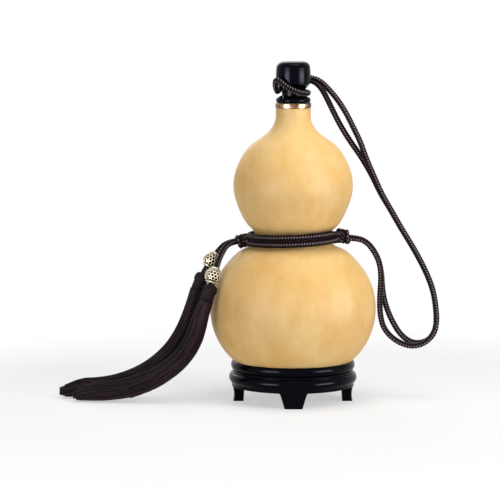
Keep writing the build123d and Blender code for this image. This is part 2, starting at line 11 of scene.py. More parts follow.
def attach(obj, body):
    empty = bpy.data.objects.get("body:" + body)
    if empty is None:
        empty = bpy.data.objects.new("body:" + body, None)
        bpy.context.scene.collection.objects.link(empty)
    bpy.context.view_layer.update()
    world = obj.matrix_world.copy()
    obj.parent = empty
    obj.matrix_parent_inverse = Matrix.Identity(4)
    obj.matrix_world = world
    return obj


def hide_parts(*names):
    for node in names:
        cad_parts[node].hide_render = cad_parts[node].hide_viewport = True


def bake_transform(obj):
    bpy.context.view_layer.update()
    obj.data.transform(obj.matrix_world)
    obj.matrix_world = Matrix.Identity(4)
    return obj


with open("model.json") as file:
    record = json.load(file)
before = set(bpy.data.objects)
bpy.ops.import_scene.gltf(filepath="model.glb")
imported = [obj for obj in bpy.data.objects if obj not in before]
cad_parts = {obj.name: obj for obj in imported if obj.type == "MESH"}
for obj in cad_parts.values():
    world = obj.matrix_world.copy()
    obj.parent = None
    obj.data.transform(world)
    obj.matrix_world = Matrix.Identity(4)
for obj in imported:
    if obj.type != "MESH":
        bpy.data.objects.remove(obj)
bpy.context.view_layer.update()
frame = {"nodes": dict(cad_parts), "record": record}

# The gourd. A dried bottle gourd, scraped, oiled and waxed: a hard woody skin of warm straw
# colour, with faint cloudy mottling, small darker specks and a soft wax sheen. It stays as it
# grew, so the solid's own surface is the skin.
# One millimetre in metres. The object's own sizes are written in millimetres.
MM = 0.001
mottle_size, cloud_size, speck_spacing, grain_size = 9 * MM, 34 * MM, 6 * MM, 1.1 * MM
mottle_upright = 0.45
mottle_colours = [(0.30, "#D2A45B"), (0.52, "#DDB570"), (0.72, "#E6C383")]
cloud_colours = [(0.32, "#D9A55C"), (0.50, "#E2BA78"), (0.68, "#EBCB90")]
speck_colour, speck_edge = "#B98545", [(0.03, 1.0), (0.075, 0.0)]
# The Mix node's two colour inputs and its colour output, by their places.
colour_a, colour_b, colour_out = 6, 7, 2


def linear(colour):
    """A colour written as sRGB hex, as the linear RGBA that a socket takes."""
    parts = [int(colour[i:i + 2], 16) / 255 for i in (1, 3, 5)]
    return [c / 12.92 if c <= 0.04045 else ((c + 0.055) / 1.055) ** 2.4 for c in parts] + [1.0]


def new_material(name):
    """A material with only its shader, and that shader."""
    material = bpy.data.materials.new(name)
    material.use_nodes = True
    return material, material.node_tree.nodes["Principled BSDF"]


def add(material, kind, inputs=None, stops=None, **options):
    """Adds a node with its options, its ramp's stops, and each input's value or link."""
    made = material.node_tree.nodes.new("ShaderNode" + kind)
    for option, value in options.items():
        setattr(made, option, value)
    for key, value in (inputs or {}).items():
        if isinstance(value, bpy.types.NodeSocket):
            material.node_tree.links.new(value, made.inputs[key])
        else:
            made.inputs[key].default_value = value
    if stops:
        while len(made.color_ramp.elements) < len(stops):
            made.color_ramp.elements.new(0.5)
        for element, (place, colour) in zip(made.color_ramp.elements, stops):
            element.position = place
            element.color = linear(colour) if isinstance(colour, str) else (colour, colour, colour, 1)
    return made


def wire(material, output, target):
    """Links an output to an input."""
    material.node_tree.links.new(output, target)


def paint(piece, material):
    """Gives a whole piece one material."""
    if not piece.material_slots:
        piece.data.materials.append(material)
    for slot in piece.material_slots:
        slot.material = material


gourd_skin, shader = new_material("waxed dried gourd skin")
place = add(gourd_skin, "TexCoord").outputs["Object"]
stretch = add(gourd_skin, "Mapping", {"Vector": place, "Scale": (1, 1, mottle_upright)})
mottle = add(
    gourd_skin, "TexNoise",
    {"Vector": stretch.outputs[0], "Scale": 1 / mottle_size, "Detail": 6.0, "Roughness": 0.62},
)
cloud = add(
    gourd_skin, "TexNoise",
    {"Vector": place, "Scale": 1 / cloud_size, "Detail": 3.0, "Roughness": 0.5},
)
mottled = add(gourd_skin, "ValToRGB", {"Fac": mottle.outputs["Fac"]}, stops=mottle_colours)
clouded = add(gourd_skin, "ValToRGB", {"Fac": cloud.outputs["Fac"]}, stops=cloud_colours)
straw = add(
    gourd_skin, "Mix",
    {"Factor": 0.5, colour_a: mottled.outputs[0], colour_b: clouded.outputs[0]},
    data_type="RGBA",
)
specks = add(gourd_skin, "TexVoronoi", {"Vector": place, "Scale": 1 / speck_spacing, "Randomness": 1.0})
speck = add(gourd_skin, "ValToRGB", {"Fac": specks.outputs["Distance"]}, stops=speck_edge)
speckled = add(
    gourd_skin, "Mix",
    {"Factor": speck.outputs[0], colour_a: straw.outputs[colour_out], colour_b: linear(speck_colour)},
    data_type="RGBA",
)
wire(gourd_skin, speckled.outputs[colour_out], shader.inputs["Base Color"])
polish = add(gourd_skin, "MapRange", {"Value": mottle.outputs["Fac"], "To Min": 0.46, "To Max": 0.60})
wire(gourd_skin, polish.outputs[0], shader.inputs["Roughness"])
grain = add(gourd_skin, "TexNoise", {"Vector": place, "Scale": 1 / grain_size, "Detail": 3.0})
grain_bump = add(
    gourd_skin, "Bump",
    {"Height": grain.outputs["Fac"], "Strength": 0.10, "Distance": 0.15 * MM},
)
low_bump = add(
    gourd_skin, "Bump",
    {
        "Height": cloud.outputs["Fac"], "Strength": 0.25, "Distance": 0.8 * MM,
        "Normal": grain_bump.outputs[0],
    },
)
wire(gourd_skin, low_bump.outputs[0], shader.inputs["Normal"])
shader.inputs["Specular IOR Level"].default_value = 0.22
paint(frame["nodes"]["gourd_shell"], gourd_skin)

# The lining. The inside is sealed with a thin brushed coat of natural lacquer, amber brown and
# glossy, and a little darker where the brush left it thick.
stroke_size = 4 * MM
amber_colours = [(0.35, "#6A3A18"), (0.65, "#8C5426")]
lining_coat, shader = new_material("natural lacquer, brushed")
place = add(lining_coat, "TexCoord").outputs["Object"]
strokes = add(lining_coat, "TexNoise", {"Vector": place, "Scale": 1 / stroke_size, "Detail": 4.0})
amber = add(lining_coat, "ValToRGB", {"Fac": strokes.outputs["Fac"]}, stops=amber_colours)
wire(lining_coat, amber.outputs[0], shader.inputs["Base Color"])
shader.inputs["Roughness"].default_value = 0.3
paint(frame["nodes"]["inner_lining"], lining_coat)

# The brass fittings. The collar glued into the neck and the lid's threaded cup are turned
# brass, polished, with a little tarnish. The lathe's fine rings round them are drawn wider
# apart than the real ones, so that they show.
ring_spacing, tarnish_size = 2.2 * MM, 3 * MM
brass_colours = [(0.35, "#5E4738"), (0.60, "#927658")]
# At a scale of 1 the Wave node turns through this many radians in a metre.
wave_radians = 20
turned_brass, shader = new_material("polished turned brass")
place = add(turned_brass, "TexCoord").outputs["Object"]
lathe = add(
    turned_brass, "TexWave",
    {"Vector": place, "Scale": 2 * math.pi / (wave_radians * ring_spacing), "Distortion": 0.0},
    wave_type="BANDS", bands_direction="Z",
)
tarnish = add(turned_brass, "TexNoise", {"Vector": place, "Scale": 1 / tarnish_size, "Detail": 4.0})
gold = add(turned_brass, "ValToRGB", {"Fac": tarnish.outputs["Fac"]}, stops=brass_colours)
wire(turned_brass, gold.outputs[0], shader.inputs["Base Color"])
lathe_bump = add(
    turned_brass, "Bump",
    {"Height": lathe.outputs["Fac"], "Strength": 0.15, "Distance": 0.05 * MM},
)
wire(turned_brass, lathe_bump.outputs[0], shader.inputs["Normal"])
rub = add(turned_brass, "MapRange", {"Value": tarnish.outputs["Fac"], "To Min": 0.16, "To Max": 0.34})
wire(turned_brass, rub.outputs[0], shader.inputs["Roughness"])
shader.inputs["Metallic"].default_value = 1.0
for node in ("neck_collar", "lid_thread"):
    paint(frame["nodes"][node], turned_brass)

# The lid and the stand. Both are wood under black lacquer, the lid and the stand's rings turned
# and its feet cut, then polished to a high gloss: a deep black whose highlights are a little
# blue, with faint smears and a trace of flow in the lacquer.
flow_size, smear_size = 7 * MM, 12 * MM
lacquer_colours = [(0.35, "#030307"), (0.65, "#07070C")]
black_lacquer, shader = new_material("black lacquer on turned wood, polished")
place = add(black_lacquer, "TexCoord").outputs["Object"]
flow = add(black_lacquer, "TexNoise", {"Vector": place, "Scale": 1 / flow_size, "Detail": 2.0})
smear = add(black_lacquer, "TexNoise", {"Vector": place, "Scale": 1 / smear_size, "Detail": 5.0})
black = add(black_lacquer, "ValToRGB", {"Fac": smear.outputs["Fac"]}, stops=lacquer_colours)
wire(black_lacquer, black.outputs[0], shader.inputs["Base Color"])
flow_bump = add(
    black_lacquer, "Bump",
    {"Height": flow.outputs["Fac"], "Strength": 0.10, "Distance": 0.25 * MM},
)
wire(black_lacquer, flow_bump.outputs[0], shader.inputs["Normal"])
sheen = add(black_lacquer, "MapRange", {"Value": smear.outputs["Fac"], "To Min": 0.14, "To Max": 0.24})
wire(black_lacquer, sheen.outputs[0], shader.inputs["Roughness"])
shader.inputs["Specular IOR Level"].default_value = 0.055
shader.inputs["Specular Tint"].default_value = linear("#D2D0F0")
for node in ("lid_body", "seat_ring", "base_ring", "foot_front", "foot_left", "foot_back", "foot_right"):
    paint(frame["nodes"][node], black_lacquer)

# The seal. A washer punched from milky silicone sheet, soft and slightly cloudy, pressed into
# the lid's underside.
milk_size = 2 * MM
milk_colours = [(0.3, "#CFCBC2"), (0.7, "#DDD9D0")]
silicone, shader = new_material("milky silicone sheet")
place = add(silicone, "TexCoord").outputs["Object"]
milk = add(silicone, "TexNoise", {"Vector": place, "Scale": 1 / milk_size, "Detail": 2.0})
milky = add(silicone, "ValToRGB", {"Fac": milk.outputs["Fac"]}, stops=milk_colours)
wire(silicone, milky.outputs[0], shader.inputs["Base Color"])
shader.inputs["Roughness"].default_value = 0.55
shader.inputs["Subsurface Weight"].default_value = 0.2
shader.inputs["Subsurface Scale"].default_value = 1 * MM
paint(frame["nodes"]["lid_seal"], silicone)

# The sling. One round braided cord of dark brown silk, noosed round the lid's groove. Both of
# its legs hang in a loop at the right and end in the knot on the waist. Its slanting strands
# meet in rows of arrow heads, and are drawn a little coarser than the real ones, to show.
cord_d, cord_sides = 4.1, 24
strand_step, strand_columns, strand_lean, column_start = 1.9, 4, 0.9, 0.5
# Shares of the cord's radius: where two strands meet, and what a strand's crown adds to that.
strand_foot, strand_rise = 0.84, 0.19
# How high the dip between two strands of a column stays, as a share of their crowns.
strand_dip = 0.15
thread_size = 0.45 * MM
# The colours by the strands' height: painted shade in the dips between strands, the silk's dark brown, and a
# painted highlight along their crowns.
braid_shade_and_highlight_colours = [(0.48, "#0C0607"), (0.80, "#2A1D21"), (0.96, "#98848E")]

sling_front = [
    (38.6, -2.3, 114.6), (45.6, -2.3, 114.4), (51.8, -2.3, 111.8), (56.6, -2.3, 106.0),
    (60.2, -2.3, 98.8), (61.7, -2.3, 89.8), (61.3, -2.3, 79.6), (60.7, -2.3, 69.4),
    (61.3, -2.3, 59.8), (63.4, -2.3, 51.6), (68.6, -2.3, 45.0), (76.2, -2.3, 40.0),
    (84.8, -2.3, 38.0), (93.2, -2.3, 40.8), (98.8, -2.3, 47.2), (100.9, -2.3, 55.6),
    (100.3, -2.3, 64.4), (98.8, -2.3, 75.0), (95.0, -2.3, 86.4), (89.6, -2.3, 98.0),
    (83.2, -2.3, 109.4), (76.2, -2.3, 120.6), (69.4, -2.3, 132.6), (62.1, -2.3, 145.0),
    (56.2, -2.3, 158.2), (50.6, -2.0, 171.2), (46.6, -1.2, 182.6), (41.6, 0.6, 192.6),
    (36.6, 3.0, 202.6), (31.0, 6.0, 211.0), (24.9, 9.3, 218.2), (19.2, 12.1, 223.6),
    (12.95, 14.09, 225.83), (7.15, 14.59, 226.0),
]
noose = [
    (7.0, 14.6, 226.0), (1.6, 15.07, 226.16), (-4.0, 14.8, 223.0), (-7.8, 12.0, 218.9),
    (-10.4, 6.8, 217.0), (-11.0, 0.8, 217.0), (-12.0, -4.8, 218.8), (-12.6, -7.6, 222.0),
    (-12.4, -9.2, 225.2), (-10.6, -11.4, 225.8), (-7.8, -12.9, 223.8), (-4.6, -13.9, 221.0),
    (0.8, -13.4, 218.3), (5.6, -10.9, 216.8), (9.1, -6.2, 216.2), (10.6, -0.6, 216.2),
    (9.7, 4.7, 216.2), (6.5, 9.0, 216.2), (2.2, 11.8, 216.3), (-1.6, 14.2, 216.8),
    (-5.0, 17.0, 217.9), (-6.6, 20.2, 220.4), (-4.6, 21.6, 223.2), (0.0, 21.05, 224.0),
    (5.6, 20.6, 224.0),
]
sling_rear = [
    (38.6, 2.3, 114.6), (45.6, 2.3, 114.2), (51.9, 2.3, 111.2), (56.9, 2.3, 104.8),
    (60.6, 2.3, 97.4), (62.2, 2.3, 88.4), (62.7, 2.3, 79.2), (64.1, 2.3, 70.4),
    (67.0, 2.3, 61.6), (71.0, 2.3, 53.2), (75.9, 2.3, 45.7), (82.6, 2.3, 40.55),
    (89.6, 2.3, 39.75), (96.1, 2.3, 42.6), (100.2, 2.3, 48.4), (100.9, 2.3, 57.6),
    (100.1, 2.3, 67.4), (98.2, 2.3, 78.2), (94.2, 2.3, 88.4), (88.6, 2.3, 99.4),
    (82.2, 2.3, 110.6), (75.2, 2.3, 121.8), (68.4, 2.3, 133.8), (60.9, 2.3, 146.0),
    (54.8, 2.4, 159.0), (47.4, 2.8, 171.6), (41.0, 4.0, 180.4), (35.6, 6.0, 188.6),
    (31.2, 8.6, 196.4), (27.6, 11.4, 203.6), (24.2, 14.2, 210.6), (20.6, 16.4, 217.4),
    (16.6, 18.6, 222.0), (11.2, 20.15, 224.0), (5.75, 20.59, 224.0),
]


def route_curve(points, steps):
    """A cord's route, given in millimetres, as a smooth NURBS curve."""
    curve = bpy.data.curves.new("route", "CURVE")
    curve.dimensions = "3D"
    spline = curve.splines.new("NURBS")
    spline.points.add(len(points) - 1)
    for point, (x, y, z) in zip(spline.points, points):
        point.co = (x * MM, y * MM, z * MM, 1)
    spline.order_u = 3
    spline.use_endpoint_u = True
    spline.resolution_u = steps
    return bpy.data.objects.new("route", curve)


def line_of(route):
    """The points of a route's smooth line, in order."""
    mesh = bpy.data.meshes.new_from_object(route)
    return np.array([vertex.co for vertex in mesh.vertices])


def distance_along(line):
    """How far along a line each of its points is."""
    return np.concatenate([[0], np.cumsum(np.linalg.norm(np.diff(line, axis=0), axis=1))])


def place_piece(name, mesh, smooth=True):
    """Puts a finished mesh into the scene as a piece."""
    if smooth:
        mesh.shade_smooth()
    piece = bpy.data.objects.new(name, mesh)
    bpy.context.scene.collection.objects.link(piece)
    return piece


def close_ends(mesh):
    """Fills the open ends of a tube."""
    form = bmesh.new()
    form.from_mesh(mesh)
    bmesh.ops.holes_fill(form, edges=[edge for edge in form.edges if edge.is_boundary])
    form.to_mesh(mesh)
    form.free()


def braided_tube(name, points, steps, fullness=1.0):
    """A tube along a route, with the strands of its plait raised. Returns it and its line."""
    route = route_curve(points, steps)
    line = line_of(route)
    route.data.bevel_depth = cord_d / 2 * MM
    route.data.bevel_resolution = (cord_sides - 4) // 2
    mesh = bpy.data.meshes.new_from_object(route)
    mesh.name = name
    rings = np.array([vertex.co for vertex in mesh.vertices]).reshape(len(line), -1, 3)
    sides = rings.shape[1]
    along = distance_along(line)[:, None]
    turn = (np.arange(sides)[None, :] / sides * strand_columns + column_start) % strand_columns
    column, across = np.floor(turn), turn % 1.0
    slant = np.where(column % 2 == 0, 1.0, -1.0)
    phase = along / (strand_step * MM) + slant * across * strand_lean
    lump = np.abs(np.sin(np.pi * phase))
    crown = np.sqrt(np.sin(np.pi * across)) * (strand_dip + (1 - strand_dip) * lump)
    centre = line[:, None, :]
    rings = centre + (rings - centre) * fullness * (strand_foot + strand_rise * crown)[..., None]
    mesh.vertices.foreach_set("co", rings.ravel())
    # The strands' height is kept on the mesh for the painted shade between them and the painted highlight on
    # their crowns.
    crown_for_painted_light = mesh.attributes.new("crown", "FLOAT", "POINT").data
    crown_for_painted_light.foreach_set("value", crown.ravel().astype(np.float32))
    close_ends(mesh)
    mesh.update()
    return place_piece(name, mesh), line


braid_silk, shader = new_material("braided silk cord, dark brown")
# The braid's colour follows the strands' height: painted shade in the dips, painted highlight on the crowns.
raised = add(braid_silk, "Attribute", attribute_name="crown")
place = add(braid_silk, "TexCoord").outputs["Object"]
threads = add(braid_silk, "TexNoise", {"Vector": place, "Scale": 1 / thread_size, "Detail": 3.0})
brown = add(braid_silk, "ValToRGB", {"Fac": raised.outputs["Fac"]}, stops=braid_shade_and_highlight_colours)
wire(braid_silk, brown.outputs[0], shader.inputs["Base Color"])
thread_bump = add(
    braid_silk, "Bump",
    {"Height": threads.outputs["Fac"], "Strength": 0.5, "Distance": 0.12 * MM},
)
wire(braid_silk, thread_bump.outputs[0], shader.inputs["Normal"])
shader.inputs["Roughness"].default_value = 0.6
shader.inputs["Specular IOR Level"].default_value = 0.06

sling_route = sling_front[:-1] + noose[:-1] + sling_rear[-2::-1]
sling_steps = 30
sling, line = braided_tube("sling_cord", sling_route, sling_steps)
paint(sling, braid_silk)
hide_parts("sling_leg_front", "lid_noose", "sling_leg_rear")
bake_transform(sling)

# The waist winding. The same braided silk cord goes twice round the gourd's waist, its turns
# side by side, and both ends run into the right-hand knot. It is pulled tight, so it lies
# round and nearly level.
waist_z, wind_r, wind_gap, wind_tilt, knot_reach = 114.4, 30.85, 0.45, 1.0, 35.25
wind_turns, wind_points, wind_steps, wind_fullness = 2, 56, 18, 1.1
# The height at which its ends enter the knot, as a share of the winding's half height.
end_share = 0.35
wind_step = cord_d + wind_gap
leave = math.acos(wind_r / knot_reach)
wound_angle = wind_turns * 2 * math.pi - 2 * leave
wind_place = Matrix.Translation((0, 0, waist_z)) @ Matrix.Rotation(-math.radians(wind_tilt), 4, "Y")
end_height = end_share * wound_angle / 2 * wind_step / (2 * math.pi)
winding_route = [(knot_reach, 0, end_height)]
for n in range(wind_points):
    angle = wound_angle * n / (wind_points - 1)
    height = (wound_angle / 2 - angle) * wind_step / (2 * math.pi)
    winding_route.append((wind_r * math.cos(-leave - angle), wind_r * math.sin(-leave - angle), height))
winding_route.append((knot_reach, 0, -end_height))
winding_route = [tuple(wind_place @ Vector(point)) for point in winding_route]
winding, _ = braided_tube("waist_winding", winding_route, wind_steps, fullness=wind_fullness)
paint(winding, braid_silk)
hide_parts("waist_cord")
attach(winding, "bottle")

# The knots. At each side of the waist the silk cords are tied: a cord's end is wrapped round
# the others in about three tight, slightly uneven turns and drawn in at both ends.
knot_turns, knot_r, knot_step, knot_lean = 3.3, 3.2, 3.0, 12
knot_points, knot_steps = 34, 8
# The wraps start at a share of their radius, and gain another with each point from the end.
first_draw, draw_gain = 0.35, 0.22
# How many turns the knot is squeezed by, and how much its turns swell and sway.
knot_squeeze, wrap_swell, wrap_sway, sway_phase = 0.4, 0.05, 0.45, 0.6
for side, name, hang in ((1, "right", 0.8), (-1, "left", -1.2)):
    middle_of_knot = Matrix.Translation((side * (knot_reach - abs(hang) / 2), 0, hang))
    knot_place = wind_place @ middle_of_knot @ Matrix.Rotation(math.radians(side * (90 + knot_lean)), 4, "Y")
    route = []
    for n in range(knot_points):
        share = n / (knot_points - 1)
        angle = share * knot_turns * 2 * math.pi
        from_end = min(share, 1 - share) * knot_points
        swell = 1 + wrap_swell * math.sin(2 * angle + side)
        reach = knot_r * min(1.0, first_draw + draw_gain * from_end) * swell
        sway = wrap_sway * math.sin(angle + sway_phase * side)
        height = (share - 0.5) * knot_step * (knot_turns - knot_squeeze) + sway
        route.append(tuple(knot_place @ Vector((reach * math.cos(angle), reach * math.sin(angle), height))))
    knot, _ = braided_tube("knot_" + name + "_wraps", route, knot_steps)
    paint(knot, braid_silk)
    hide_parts("knot_" + name)
    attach(knot, "bottle")

# The beads. Two hollow cast balls of an old pale gold finish, bright where the wires wear and
# darkened by painted shade in the recesses, with a dark ball inside as the painted shade of the
# hollow, pierced all over in a net of round windows, with a rolled lip at each end of the bore,
# and threaded on the tassel cords.
bead_r, lip_r, wire_t, lip_t = 6.0, 2.95, 0.42, 0.5
net_r = (bead_r - wire_t / 2) * MM
# The net is left out within this share of the lip's radius, where the bore is.
bore_share = 0.9
lip_sides, lip_steps = 12, 32
# The depth under the surface of the dark ball inside, which is painted shade in the hollow, and
# the depths over which painted shade in the recesses fades out to the bright wear on the wires.
inside_depth, full_shade_depth, unshaded_wear_depth = 1.1, 1.0, 0.1
grime_size = 1.2 * MM
# From painted shade in the recesses and the inside, through the old gold, to the bright wear on the wires.
gilt_and_painted_shade_colours = [(0.10, "#0C0906"), (0.26, "#857A62"), (0.48, "#D0C6AE")]
old_gold, shader = new_material("cast alloy, antique pale gold")
raised = add(old_gold, "Attribute", attribute_name="crown")
place = add(old_gold, "TexCoord").outputs["Object"]
grime = add(old_gold, "TexNoise", {"Vector": place, "Scale": 1 / grime_size, "Detail": 4.0})
# Painted shade and wear: the deeper a point lies, the darker it is; the grime varies it.
wear_and_shade = add(old_gold, "Math", {0: raised.outputs["Fac"], 1: grime.outputs["Fac"]}, operation="MULTIPLY")
gilt_and_shade = add(old_gold, "ValToRGB", {"Fac": wear_and_shade.outputs[0]}, stops=gilt_and_painted_shade_colours)
wire(old_gold, gilt_and_shade.outputs[0], shader.inputs["Base Color"])
cast_bump = add(
    old_gold, "Bump",
    {"Height": grime.outputs["Fac"], "Strength": 0.3, "Distance": 0.1 * MM},
)
wire(old_gold, cast_bump.outputs[0], shader.inputs["Normal"])
shader.inputs["Metallic"].default_value = 1.0
shader.inputs["Roughness"].default_value = 0.33


def link_piece(name, form, smooth=True):
    """Turns a finished bmesh into a piece of the scene."""
    mesh = bpy.data.meshes.new(name)
    form.to_mesh(mesh)
    form.free()
    return place_piece(name, mesh, smooth)


def apply_modifiers(piece):
    """Makes a piece's modifiers part of its mesh."""
    bpy.context.view_layer.update()
    graph = bpy.context.evaluated_depsgraph_get()
    done = bpy.data.meshes.new_from_object(piece.evaluated_get(graph))
    piece.modifiers.clear()
    piece.data = done
    done.shade_smooth()


def turned_to(direction):
    """The turn that takes straight up to a direction."""
    return Vector((0, 0, 1)).rotation_difference(direction).to_matrix().to_4x4()


def bead_net(name):
    """A ball of wires: a face of a fine ball gives a corner, and a corner of it a window."""
    ball = bmesh.new()
    bmesh.ops.create_icosphere(ball, subdivisions=1, radius=net_r)
    bmesh.ops.subdivide_edges(ball, edges=ball.edges[:], cuts=2, use_grid_fill=True)
    for v in ball.verts:
        v.co *= net_r / v.co.length
    ball.verts.index_update()
    ball.faces.index_update()
    form = bmesh.new()
    corners = {face.index: form.verts.new(face.calc_center_median()) for face in ball.faces}
    for v in form.verts:
        v.co *= net_r / v.co.length
    for vertex in ball.verts:
        east = vertex.co.orthogonal().normalized()
        north = vertex.co.normalized().cross(east)
        ring = [(face.calc_center_median() - vertex.co, corners[face.index]) for face in vertex.link_faces]
        ring.sort(key=lambda item: math.atan2(item[0].dot(north), item[0].dot(east)))
        form.faces.new([corner for offset, corner in ring])
    ball.free()
    bore = [v for v in form.verts if math.hypot(v.co.x, v.co.y) < lip_r * MM * bore_share]
    bmesh.ops.delete(form, geom=bore, context="VERTS")
    form.normal_update()
    panes = form.faces[:]
    bmesh.ops.inset_individual(form, faces=panes, thickness=wire_t / 2 * MM, depth=0)
    bmesh.ops.delete(form, geom=panes, context="FACES")
    net = link_piece(name, form)
    solid = net.modifiers.new("thickness", "SOLIDIFY")
    solid.thickness = wire_t * MM
    solid.offset = 0
    round_off = net.modifiers.new("round", "SUBSURF")
    round_off.levels = round_off.render_levels = 1
    apply_modifiers(net)
    return net


def pierced_bead(name, centre, axis):
    """The net, its lips and a dark ball inside as painted shade, turned to the cord's line."""
    net = bead_net(name)
    form = bmesh.new()
    form.from_mesh(net.data)
    lip_z = math.sqrt(bead_r ** 2 - lip_r ** 2)
    for side in (1, -1):
        lip_middle = Matrix.Translation((lip_r * MM, 0, side * lip_z * MM))
        ring = bmesh.ops.create_circle(
            form, segments=lip_sides, radius=lip_t * MM,
            matrix=lip_middle @ Matrix.Rotation(math.pi / 2, 4, "X"),
        )
        edges = list(dict.fromkeys(e for v in ring["verts"] for e in v.link_edges))
        bmesh.ops.spin(
            form, geom=edges, cent=(0, 0, 0), axis=(0, 0, 1),
            angle=2 * math.pi, steps=lip_steps, use_merge=True,
        )
    bmesh.ops.recalc_face_normals(form, faces=form.faces[:])
    # A dark ball inside, put there as painted shade in the hollow behind the windows.
    inside_r = (bead_r - inside_depth) * MM
    bmesh.ops.create_uvsphere(form, u_segments=32, v_segments=20, radius=inside_r)
    # Painted shade: the deeper a point lies under the surface, the lower its value and the darker its
    # colour.
    wear_and_shade_layer = form.verts.layers.float.new("crown")
    for v in form.verts:
        depth = (v.co.length / MM - (bead_r - full_shade_depth)) / (full_shade_depth - unshaded_wear_depth)
        v[wear_and_shade_layer] = max(0.0, min(1.0, depth))
    bmesh.ops.transform(form, matrix=Matrix.Translation(centre) @ turned_to(axis), verts=form.verts[:])
    form.to_mesh(net.data)
    form.free()
    net.data.shade_smooth()
    return net


for side in ("front", "rear"):
    hinge = next(j for j in frame["record"]["behaviour"]["joints"] if j["name"] == "bead_" + side + "_spin")
    bead = pierced_bead("pierced_bead_" + side, Vector(hinge["pos_m"]), Vector(hinge["axis"]))
    paint(bead, old_gold)
    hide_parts("bead_" + side)
    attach(bead, "bead_" + side)

# The tassels. Each is a hank of dark purple-brown floss silk, folded over the cord's end, tied
# with wound thread below the fold, and left to hang, bend and lie out on the floor, with the
# cord inside as its heart. The strands are drawn coarser than the real ones, to show.
head_l, binding_l, skirt_r, skirt_top_r = 9.6, 5.6, 6.3, 4.6
tassel_steps = 12
heart_steps = 26
# The fold's fine ribs lean by so many radians in a metre. Depths are shares of its radius.
fold_ribs, rib_depth, rib_lean = 36, 0.035, 900
fold_lobes, lobe_depth = 13, 0.02
# The fold's faces are divided along each side of its outline that rises by more than this.
divided_rise = 0.2
fold_outline = [
    (1.9, 2.4), (3.0, 2.1), (4.2, 1.2), (4.8, -0.3), (4.9, -2.2), (4.75, -3.3),
    (4.35, -4.2), (3.95, -4.8), (3.85, -8.8), (4.2, -9.6), (4.6, -10.6),
]
# The tie's thread: its radius and turns, how far out it runs and sways, and its route's points.
thread_r, thread_turns, thread_reach, thread_sway, sway_rate = 0.34, 8, 4.3, 0.06, 0.37
turn_points, thread_steps, thread_fullness = 12, 3, 1.12
# The strands, and the locks that they lie in. A scatter is the spread of random differences.
strands_in_skirt, strand_r, strand_points, lock_count = 430, 0.27, 26, 34
lock_twist, reach_least, reach_scatter, angle_scatter, angle_reach = 0.5, 0.02, 0.10, 0.16, 0.25
outer_short, strand_short = 0.035, 0.045
# A few short strands of some locks end part way down and stand out as tufts.
tuft_count, tuft_strands, tuft_least, tuft_more, tuft_reach, tuft_flare = 7, 5, 0.42, 0.4, 0.9, 0.35
# The strands' soft waves: their least and greatest size, how fast they run and how fast they grow.
wave_least, wave_most, wave_rate, wave_growth = 0.05, 0.35, 9, 4
# The skirt swells over its first 30 mm, spreads after the first tenth, and narrows at its tip.
swell_l, spread_start, spread_more, tip_start, tip_taper = 30, 0.1, 0.10, 0.92, 0.35
# Near the floor the strands are pressed together into a thin layer, with a small gap below.
floor_gap, settle_depth, settle_fade = 0.1, 1.2, 3
silk_colours = [(0.0, "#0E0709"), (0.6, "#1C0F14"), (0.97, "#46303A")]

tassel_cord_front = [
    (-38.4, -2.3, 112.4), (-44.9, -6.7, 112.0), (-49.3, -12.3, 106.2), (-52.6, -17.2, 98.6),
    (-57.6, -24.0, 82.2),
]
tassel_front = [
    (-64.4, -27.2, 63.6), (-66.6, -26.0, 53.4), (-70.6, -23.6, 43.6), (-76.6, -20.8, 34.0),
    (-85.0, -18.0, 25.2), (-95.6, -15.6, 17.8), (-108.4, -13.4, 12.0), (-123.0, -11.4, 8.6),
    (-138.4, -9.6, 7.3), (-154.0, -8.0, 6.9),
]
tassel_cord_rear = [
    (-38.4, 2.3, 112.4), (-46.0, -0.9, 111.6), (-52.0, -3.6, 106.6), (-61.8, -8.3, 92.6),
    (-63.4, -8.9, 88.6),
]
tassel_rear = [
    (-69.2, -10.2, 69.0), (-71.8, -9.0, 58.8), (-75.6, -7.2, 49.2), (-81.2, -5.0, 39.8),
    (-88.6, -2.8, 30.8), (-98.0, -0.4, 22.6), (-109.4, 2.0, 15.6), (-122.8, 4.2, 10.4),
    (-137.4, 6.0, 7.8), (-152.2, 7.4, 7.0), (-164.6, 8.2, 6.9),
]

silk, shader = new_material("floss silk, dark aubergine")
strand_tone = add(silk, "NewGeometry").outputs["Random Per Island"]
floss = add(silk, "ValToRGB", {"Fac": strand_tone}, stops=silk_colours)
wire(silk, floss.outputs[0], shader.inputs["Base Color"])
shader.inputs["Roughness"].default_value = 0.5
shader.inputs["Specular IOR Level"].default_value = 0.08


def tassel_head(name, head_place):
    """The fold of the hank: a ribbed dome that narrows to the tie and opens below it."""
    form = bmesh.new()
    verts = [form.verts.new((r * MM, 0, z * MM)) for r, z in fold_outline]
    edges = [form.edges.new(pair) for pair in zip(verts, verts[1:])]
    bmesh.ops.spin(
        form, geom=verts + edges, cent=(0, 0, 0), axis=(0, 0, 1),
        angle=2 * math.pi, steps=144, use_merge=True,
    )
    upright = [e for e in form.edges if abs(e.verts[0].co.z - e.verts[1].co.z) > divided_rise * MM]
    bmesh.ops.subdivide_edges(form, edges=upright, cuts=2)
    for v in form.verts:
        angle = math.atan2(v.co.y, v.co.x)
        lean = rib_lean * v.co.z
        rib = 1 + rib_depth * math.cos(fold_ribs * angle + lean) + lobe_depth * math.cos(fold_lobes * angle)
        v.co.x *= rib
        v.co.y *= rib
    bmesh.ops.recalc_face_normals(form, faces=form.faces[:])
    bmesh.ops.transform(form, matrix=head_place, verts=form.verts[:])
    return link_piece(name, form)


